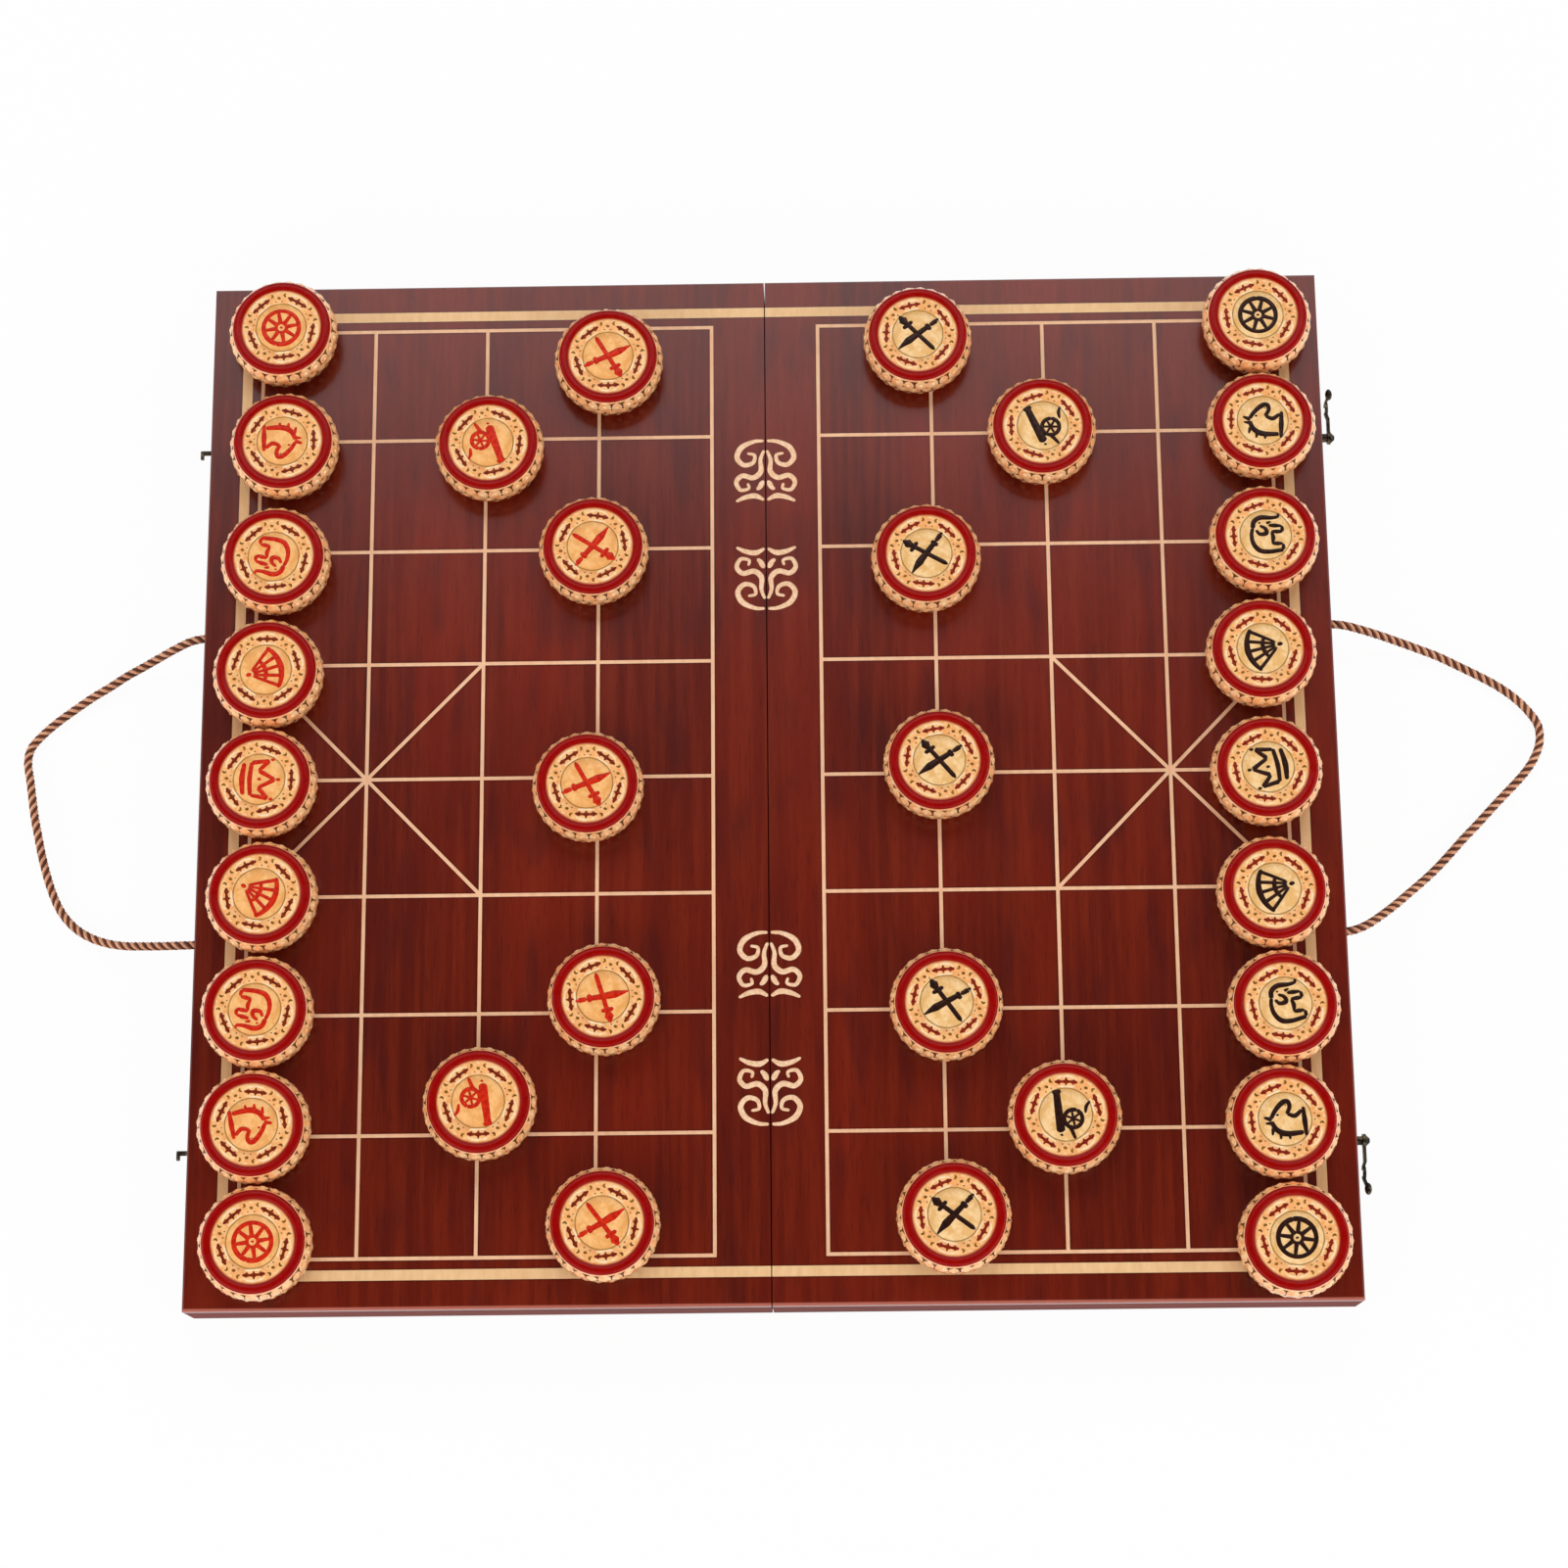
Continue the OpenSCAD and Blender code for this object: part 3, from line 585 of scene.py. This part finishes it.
def elephant():
    back = ((3.4, 5.6), (0, 6.3), (-4, 5.7), (-7.2, 3.2), (-8, -1), (-7.4, -7.6))
    trunk = ((3.2, 5.6), (6.4, 4.8), (8.2, 1.8), (7.9, -3), (8.3, -6), (9.8, -6.2))
    return [mark_line(back, (1.3, 1.9, 1.5)),
            mark_line(((-7.2, -7.6), (-4.6, -7.6)), (1.5, 1.2)), mark_line(((-4.4, -7.4), (-4.2, -2.6))),
            mark_line(((-4.3, -2.8), (-1.4, -3.3), (1.4, -2.8))), mark_line(((1.4, -2.6), (1.2, -7.6))),
            mark_line(((1.2, -7.6), (3.9, -7.6)), (1.5, 1.2)), mark_line(((3.9, -7.4), (4.4, -1.6))),
            mark_line(trunk, (1.8, 1.9, 1.0)),
            mark_line(((2.4, 4.2), (0.4, 2.4), (0.8, -0.4), (3, 0), (4.4, 2.4)), (1.1, 1.8, 1.0)),
            mark_line(((5.4, -0.6), (6.1, -2.8)), (1.3, 0.6)), spot(5.7, 2.4, 1.2)]


def horse():
    return [mark_line(((0.2, 5.6), (1.4, 9)), (1.9, 0.8)),
            mark_line(((-1.4, 5.6), (-1.2, 8.6)), (1.5, 0.7)),
            mark_line(((0.6, 6), (4.2, 3.6), (7.2, 0.2), (7.4, -2), (5, -2.6), (2, -1)), (1.4, 1.9, 1.3)),
            mark_line(((2.2, -1.2), (1.0, -4.4), (3.2, -7.6)), (1.3, 1.7, 1.3)),
            mark_line(((-0.6, 6), (-4.4, 4), (-6.4, 0), (-6.4, -7.4)), (1.6, 2.2, 1.6)),
            mark_line(((-3.4, 5.4), (-6.6, 6.2)), (1.6, 0.7)),
            mark_line(((-5.6, 2.4), (-8.6, 2.8)), (1.6, 0.7)),
            mark_line(((-6.4, -1.2), (-9, -1.2)), (1.6, 0.7)),
            mark_line(((-8, -8.4), (4.6, -8.4)), (1.2, 2.0, 1.2)),
            spot(2, 3, 1.4), spot(6, -0.9, 0.8)]


def wheel():
    spokes = [mark_line([(reach * cos(a), reach * sin(a)) for reach in (2.4, 7.6)], (1.7, 1.2), bent=False)
              for a in (radians(22.5 + 45 * i) for i in range(8))]
    return spokes + [mark_line(ring_points(8.1, -5, 358), (1.9, 1.5, 1.9)),
                     mark_line(ring_points(2.4, -10, 358), (1.3, 1.3)), spot(0, 0, 1.5)]


def cannon():
    return [mark_line(((-8, -0.6), (0, 3.2), (8, 7)), (3.2, 2.9, 2.4)),
            mark_line(((7, 8.6), (8.9, 5.2)), (1.5, 1.5), bent=False), spot(-9, -1.2, 1.5),
            mark_line(ring_points(3.9, -5, 358, (-0.6, -3.6)), (1.5, 1.5)), spot(-0.6, -3.6, 1.5),
            *[mark_line(((-0.6, -3.6), (-0.6 + 3.6 * cos(a), -3.6 + 3.6 * sin(a))), (1.0, 0.8), bent=False)
              for a in (radians(30 + 60 * i) for i in range(6))],
            mark_line(((-3.8, -3), (-8.6, -7.4)), (1.7, 1.1), bent=False),
            mark_line(((3.4, -7.8), (6.2, -7.2), (9, -7.9)), (0.8, 1.4, 0.7))]


def crossed_arms():
    return [mark_line(((-7.2, -8.2), (4.8, 5.4)), (1.7, 1.7), bent=False),
            mark_line(((4.4, 5), (6, 6.8), (8.2, 9)), (1.5, 3.4, 0.5)),
            mark_line(((2.2, 6.8), (6.0, 2.8)), (1.2, 2.0, 1.2), bent=False),
            mark_line(((4.6, -5.4), (0, 0), (-4.4, 5), (-7.8, 8.4)), (1.7, 2.2, 2.9, 0.5)),
            mark_line(((2.4, -5.8), (5, -3.4)), (1.7, 1.7), bent=False),
            mark_line(((4.6, -5.4), (7.2, -8.4)), (1.6, 1.9), bent=False), spot(7.6, -8.6, 1.7)]


MARKS = {"general": crown, "advisor": fan, "elephant": elephant, "horse": horse, "chariot": wheel,
         "cannon": cannon, "soldier": crossed_arms}
print("marks:", ", ".join(MARKS))

# %% [markdown]
# ## Paint and gilding of the pieces
# The top is painted in rings that follow the turning: a red bead, a cream band that meets it in a soft
# edge, a fine olive line in its groove, and a golden middle. A thin pale line round the outside of the
# bead is a painted highlight. So the colour is a matter of the distance from the axis. The side is
# carved, gilded and varnished, and what the cloth missed when the gilding was rubbed stays dark in the
# hollows. Towards the foot the side is darker still, as painted shade. How deep each point lies is
# stored on the mesh, and the finish reads it. The radii below are in millimetres.

# %% Finishes of the pieces
GROOVE_R, MIDDLE_R, RED_R, BEAD_HIGHLIGHT_R = 11.5, 11.8, 17.8, 22.35


def painted_top(name, golden, bright):
    material, flow, shader = finish(name, Specular_IOR_Level=0.12)
    x, y = flow.axes()[:2]
    reach = flow.math("SQRT", x * x + y * y)
    def beyond(radius, soft):
        """0 inside that radius and 1 outside it, with a soft edge of that width, in millimetres."""
        return reach.ease((radius - soft / 2) * MM, (radius + soft / 2) * MM)
    mottle = flow.noise((260, 260, 260), 3.0, 0.6).ease(0.35, 0.65)
    middle = mottle.mix(golden, bright)
    band = mottle.mix(srgb(246, 172, 106), srgb(255, 200, 138))
    red = flow.noise((180, 180, 180), 2.0).mix(srgb(138, 2, 1), srgb(160, 7, 2))
    colour = beyond(MIDDLE_R, 1.2).mix(middle, band)
    olive = 1 - abs(reach - GROOVE_R * MM).ease(0.12 * MM, 0.45 * MM)
    colour = (olive * 0.75).mix(colour, srgb(150, 112, 44))
    colour = beyond(RED_R, 1.4).mix(colour, red)
    # A thin pale line at the outer edge of the red bead is a painted highlight.
    feed(shader, "Base Color", beyond(BEAD_HIGHLIGHT_R, 0.14).mix(colour, srgb(236, 134, 100)))
    feed(shader, "Roughness", mottle * 0.12 + 0.24)
    bump(shader, mottle, 0.05 * MM, 0.35)
    return material


def gilded_side():
    material, flow, shader = finish("gilded_side", Specular_IOR_Level=0.1, Coat_Roughness=0.14,
                                    Coat_IOR=1.7)
    hollow = flow.node("ShaderNodeAttribute", out=2, attribute_name="carving")
    z = flow.axes()[2]
    rubbed = flow.noise((400, 400, 400), 3.0, 0.65)
    gold = rubbed.ease(0.35, 0.65).mix(srgb(252, 170, 106), srgb(255, 208, 152))
    # Painted shade: the side grows darker towards the foot.
    painted_low_shade = (1 - z.ease(4 * MM, 10 * MM)) * 0.4
    # The dark mix is real dirt in the hollows and rubbed places, plus the painted shade near the foot.
    dirt_and_shade = (hollow + rubbed * 0.5 + painted_low_shade).ease(0.84, 0.98)
    stain = flow.noise((190, 190, 190), 2.0).ease(0.44, 0.56).mix(srgb(92, 16, 4), srgb(92, 46, 10))
    feed(shader, "Base Color", (dirt_and_shade * 0.95).mix(gold, stain))
    feed(shader, "Metallic", (1 - dirt_and_shade) * 0.12)
    feed(shader, "Coat Weight", 1 - dirt_and_shade)
    feed(shader, "Roughness", dirt_and_shade * 0.4 + 0.2)
    bump(shader, rubbed, 0.1 * MM, 0.5)
    return material


def paint(name, thin, thick):
    """Brushed paint: thin and paler in places, thick and darker in others."""
    material, flow, shader = finish(name, Specular_IOR_Level=0.15)
    body = flow.noise((700, 700, 700), 2.0).ease(0.35, 0.65)
    feed(shader, "Base Color", body.mix(thin, thick))
    feed(shader, "Roughness", body * 0.15 + 0.3)
    return material


gilding = gilded_side()
olive_paint = paint("olive_dabs", srgb(150, 104, 36), srgb(112, 70, 16))
# Pale paint for the painted highlights of carved relief round the dashes.
relief_highlight_paint = paint("painted_relief_highlights", srgb(255, 206, 150), srgb(255, 224, 184))
SIDES = {"red": [gilding, painted_top("top_of_red", srgb(240, 170, 98), srgb(255, 196, 128)),
                 paint("red_mark", srgb(216, 46, 16), srgb(188, 24, 6)),
                 paint("brown_dashes", srgb(134, 44, 10), srgb(104, 26, 4)), olive_paint, relief_highlight_paint],
         "black": [gilding, painted_top("top_of_black", srgb(236, 184, 116), srgb(252, 212, 156)),
                   paint("black_mark", srgb(52, 22, 12), srgb(28, 8, 3)),
                   paint("rust_dashes", srgb(146, 40, 14), srgb(116, 22, 8)), olive_paint, relief_highlight_paint]}
print("finishes of a piece:", len(SIDES["red"]))

# %% [markdown]
# ## Turning and carving one piece
# The body is turned on a lathe, so it is a half section swept round the axis. Then the side is carved
# with three rows of curls, the simple kind that stand for clouds. The cut only takes wood away, so the
# piece keeps its full width at the crests.

# %% Section of a piece, from the foot to the middle of its face
FOOT_R, FOOT_GAP, BELLY, BULGE = 20.0, 0.03, 10.5, 5.0
SHOULDER, SHOULDER_H = radians(61.3), 6.727
BEAD_R, BEAD_W, BEAD_Z, BEAD_H, BEAD_END = 20.2, 2.2, 16.4, 1.6, radians(141.3)
FACE = 17.4


def section():
    """Radius and height of each row, and whether it lies on the top, in millimetres."""
    rows = [(FOOT_R + BULGE * cos(a), BELLY * (1 + sin(a)), False)
            for a in (-pi / 2 * (1 - i / 19) for i in range(20))]
    rows += [(FOOT_R + BULGE * cos(a), BELLY + SHOULDER_H * sin(a), False)
             for a in (SHOULDER * i / 18 for i in range(1, 19))]
    rows += [(BEAD_R + BEAD_W * cos(a), BEAD_Z + BEAD_H * sin(a), True)
             for a in (BEAD_END * i / 12 for i in range(1, 13))]
    groove = [(11.8, FACE), (11.7, 17.2), (11.3, 17.2), (11.2, FACE)]
    return rows + [(r, z, True) for r, z in [(17.6, FACE), (15, FACE), *groove, (8, FACE), (4, FACE)]]


# %% Depth of the carving
CURLS, CURL_ROWS, CARVED_R, CUT = 27, (3.8, 8.4, 13.0), 24.6, 1.0


def carving(turn, height):
    """0 on the crest of a curl and 1 in the hollow between curls."""
    depth = 1.0
    for row, middle in enumerate(CURL_ROWS):
        across = turn / (2 * pi) * CURLS + row / 2
        near = round(across)
        size = 3.0 + 0.45 * sin(2.3 * (near % CURLS) + 1.7 * row)
        off = hypot((across - near) * 2 * pi * CARVED_R / CURLS, height - middle) / size
        if off < 1:
            groove = 0.4 * max(0, 1 - abs(off - 0.5) / 0.2)
            depth = min(depth, 1 - sqrt(1 - off * off) * (1 - groove))
    return depth


# %% Body of a piece
def turned_body(around=294):
    """Vertices, side faces, top faces, and how deep each vertex lies in the carving."""
    rows = section()
    verts, depths = [(0, 0, FOOT_GAP * MM)], [1.0]
    for radius, height, top in rows:
        skirt = 0 if top else min(1, max(0, min((height - 0.6) / 1.6, (16.2 - height) / 1.4)))
        for k in range(around):
            turn = 2 * pi * k / around
            depth = carving(turn, height)
            cut = radius - CUT * skirt * depth
            verts.append((cut * cos(turn) * MM, cut * sin(turn) * MM, max(height, FOOT_GAP) * MM))
            depths.append(depth if skirt > 0.5 else 0.2)
    verts.append((0, 0, FACE * MM))
    depths.append(0.0)
    side_faces, top_faces = [], []
    last = 1 + (len(rows) - 1) * around
    for k in range(around):
        side_faces.append((0, 1 + (k + 1) % around, 1 + k))
        top_faces.append((last + k, last + (k + 1) % around, len(verts) - 1))
    for row in range(len(rows) - 1):
        for k in range(around):
            a, b = 1 + row * around + k, 1 + row * around + (k + 1) % around
            (top_faces if rows[row + 1][2] else side_faces).append((a, b, b + around, a + around))
    return verts, side_faces, top_faces, depths


# %% Painted band and one kind of piece
BAND_R = 14.4


def band_cluster(middle):
    """Each stroke round one dash of the band, with its slot. middle is the angle of the dash."""
    def at(radius, away):
        """A point at a distance from the axis, and away millimetres along the dash."""
        lean = middle + away / 14.6
        return (radius * cos(lean), radius * sin(lean))
    dash = [at(14.3 + 0.022 * away * away, away) for away in (-5, -3.3, -1.7, 0, 1.7, 3.3, 5)]
    yield 3, stroke(dash, (0.9, 2.1, 1.2, 2.2, 1.2, 2.1, 0.9), 0.16)
    for away, half in ((0, 1.8), (-3.2, 1.2), (3.2, 1.2)):
        yield 3, stroke((at(BAND_R - half, away), at(BAND_R + half, away)), (0.6, 1.7, 0.6), 0.18)
    # Pale arcs outside and inside each dash are painted highlights of a carved relief.
    for radius, bow in ((16.3, 0.5), (12.5, -0.3)):
        arc = [at(radius + bow * (1 - away * away / 12), away) for away in (-4.6, -2.4, 0, 2.4, 4.6)]
        yield 5, stroke(arc, (0.6, 1.2, 1.0, 1.2, 0.6), 0.14)
    for away in (-1, 1):
        hook = (at(15.0, away * 5.9), at(15.9, away * 6.7), at(16.9, away * 6.2))
        yield 4, stroke(hook, (0.7, 1.3, 0.6), 0.14)
        yield 4, spot(*at(12.9, away * 7.6), 0.9, height=0.14)
    yield 4, spot(*at(14.5, 9.1), 2.0, height=0.16)
    # A short pale stroke near the bead, a painted highlight too.
    yield 5, stroke((at(16.7, 8.3), at(17.0, 9.1), at(16.7, 9.9)), (0.5, 1.0, 0.5), 0.14)


def piece_mesh(side, kind):
    """Slots: 0 side, 1 top, 2 mark, 3 dashes, 4 olive paint, 5 pale paint of painted relief highlights."""
    build = Build()
    verts, side_faces, top_faces, depths = turned_body()
    build.add(verts, side_faces + top_faces)
    build.slots[len(side_faces):] = [1] * len(top_faces)
    for mark in MARKS[kind]():
        build.add(*mark, slot=2)
    for k in range(5):
        for slot, shape in band_cluster(radians(90 + 72 * k)):
            build.add(*shape, slot=slot)
    mesh = build.mesh(f"{side}_{kind}", SIDES[side])
    depths += [0.0] * (len(mesh.vertices) - len(depths))
    mesh.attributes.new("carving", "FLOAT", "POINT").data.foreach_set("value", depths)
    return mesh


# %% [markdown]
# ## Setting out the pieces
# Nobody sets 32 pieces down quite square. The tilt of each one is listed here in degrees, and the place
# comes from the CAD. Red looks towards the right and black towards the left.

# %% Tilts of the pieces
TILTS = {
    "red": {"general": -2, "advisor_front": -28, "advisor_back": 17, "elephant_front": -12,
            "elephant_back": -13, "horse_front": 12, "horse_back": 1, "chariot_front": -14,
            "chariot_back": -12, "cannon_front": -17, "cannon_back": -6, "soldier_1": -11,
            "soldier_2": -31, "soldier_3": -19, "soldier_4": 9, "soldier_5": -17},
    "black": {"general": 10, "advisor_front": 16, "advisor_back": 14, "elephant_front": 11,
              "elephant_back": 2, "horse_front": 5, "horse_back": -3, "chariot_front": 14,
              "chariot_back": 6, "cannon_front": -20, "cannon_back": -1, "soldier_1": 5,
              "soldier_2": -13, "soldier_3": -8, "soldier_4": 12, "soldier_5": -4}}

for side, tilts in TILTS.items():
    kinds = {kind: piece_mesh(side, kind) for kind in MARKS}
    for name, tilt in tilts.items():
        node = f"{side}_{name}"
        low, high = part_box(node)
        piece = show(node + "_painted", kinds[name.split("_")[0]])
        piece.location = ((low.x + high.x) / 2, (low.y + high.y) / 2, low.z)
        piece.rotation_euler.z = radians(tilt + (-90 if side == "red" else 90))
        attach(piece, node)
        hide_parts(node)
    print(side, "pieces:", len(tilts))

# %% [markdown]
# ## Clouds on the river
# Between the two banks the real board has large painted signs across the seam. Their place holds an old
# ornament here, a curling cloud, painted half on each tray. Each half moves with its tray.

# %% River ornament
def cloud_half(side, y, flip):
    """Strokes of one half of a cloud. side is -1 or 1, flip turns it upside down."""
    lines = [((0.7, 14.2), (5.5, 13.8), (11, 11), (13, 6.2), (10, 2.6), (5.8, 3.6), (5, 7.2), (8.4, 8.2)),
             ((0.7, 9.6), (2.3, 5), (2.2, -0.6), (5.6, -3.6), (10.6, -2.6), (13.4, -5.6), (11.6, -9.4),
              (7.8, -8.8), (8.2, -6.2)),
             ((0.7, -14.4), (4.6, -12.4), (9.2, -13), (13.6, -15)), ((1.0, -5), (2.6, -8), (4.2, -9.4))]
    for line in lines:
        yield stroke([(side * px, y + flip * py) for px, py in line], (1.4, 2.8, 2.4, 1.3), 0.14,
                     bottom=board_top / MM - 0.02)


river_paint = paint("river_clouds", srgb(240, 192, 150), srgb(252, 214, 178))
for side, sign in (("left", -1), ("right", 1)):
    clouds = Build()
    for y, flip in ((144, 1), (92, -1), (-86, 1), (-143, -1)):
        for verts, faces in cloud_half(sign, y, flip):
            clouds.add(verts, faces)
    painted = show(side + "_river_clouds", clouds.mesh(side + "_river_clouds", [river_paint]))
    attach(painted, side + "_half")
    print(painted.name, len(painted.data.polygons), "faces")

# %% [markdown]
# ## Floor
# The object stands on a pale sheet that ends in white. To the camera, and to anything shiny, most of the
# floor glows at a strength of 1, which is white. The rest is plain diffuse, and so the object's soft
# shadow stays. Where the sky is hidden, as in the seam and close under the trays, the glow fades out. For
# light that bounces, the floor is pale and does not glow.

# %% Pale floor
def pale_floor():
    material = bpy.data.materials.new("pale_floor")
    material.use_nodes = True
    flow = Flow(material.node_tree)
    ray = flow.node("ShaderNodeLightPath").socket.node.outputs
    seen = Flow(flow.tree, ray["Is Camera Ray"])
    for kind in ("Is Glossy Ray", "Is Transmission Ray"):
        seen = seen.most(Flow(flow.tree, ray[kind]))
    # The glow fades by ambient occlusion, which paints shade into the seam and close under the trays.
    open_sky = flow.node("ShaderNodeAmbientOcclusion", {1: 30 * MM}, out=1, samples=8).ease(0.05, 0.3)
    glowing = seen * 0.95 * open_sky
    sheet = flow.node("ShaderNodeBsdfDiffuse", {0: srgb(240, 240, 240)})
    glow = flow.node("ShaderNodeEmission", {0: (1, 1, 1, 1), 1: 1.0})
    output = material.node_tree.nodes["Material Output"]
    feed(output, "Surface", flow.node("ShaderNodeMixShader", {0: glowing, 1: sheet, 2: glow}))
    return material


FLOOR_R, BACKDROP_H, CORNERS = 11.5, 3.2, 60
turns = [radians(360 / CORNERS * i) for i in range(CORNERS)]
sheet_edge = [(FLOOR_R * cos(turn), FLOOR_R * sin(turn)) for turn in turns]
stage = Build()
stage.add([(x, y, 0) for x, y in sheet_edge], [range(CORNERS)])
stage.add([(x, y, z) for z in (0, BACKDROP_H) for x, y in sheet_edge],
          [(i, (i + 1) % CORNERS, (i + 1) % CORNERS + CORNERS, i + CORNERS) for i in range(CORNERS)])
show("floor", stage.mesh("floor", [pale_floor()]))

# %% [markdown]
# ## Light
# A wide lamp beyond the far edge gives most of the light. The lacquer mirrors it there, which makes the
# hazy upper half of the board in the photograph. Two lamps in front light the near edges and the near
# sides of the pieces, and a weaker lamp lights each end. The world fills the shadows.

# %% Lamps and world
def lamp(name, place, aim, size, watts):
    made = bpy.data.objects.new(name, bpy.data.lights.new(name, "AREA"))
    bpy.context.scene.collection.objects.link(made)
    made.data.shape = "RECTANGLE"
    made.data.size, made.data.size_y = size
    made.data.energy = watts
    made.location = place
    made.rotation_euler = (Vector(aim) - Vector(place)).to_track_quat("-Z", "Y").to_euler()


lamp("far_lamp", (0, 1.4, 1.6), (0, 0.4, 0), (2.8, 1.3), 29)
lamp("front_left_lamp", (-0.95, -1.3, 0.9), (0, 0, 0), (1.8, 1.1), 15)
lamp("front_right_lamp", (0.95, -1.3, 0.9), (0, 0, 0), (1.8, 1.1), 15)
lamp("left_lamp", (-1.7, 0, 0.6), (0, 0, 0), (1.4, 0.7), 10)
lamp("right_lamp", (1.7, 0, 0.6), (0, 0, 0), (1.4, 0.7), 10)
world = bpy.data.worlds.new("studio")
bpy.context.scene.world = world
world.use_nodes = True
world.node_tree.nodes["Background"].inputs[0].default_value = (1, 1, 1, 1)
world.node_tree.nodes["Background"].inputs[1].default_value = 0.08
bpy.context.scene.view_settings.view_transform = "Standard"
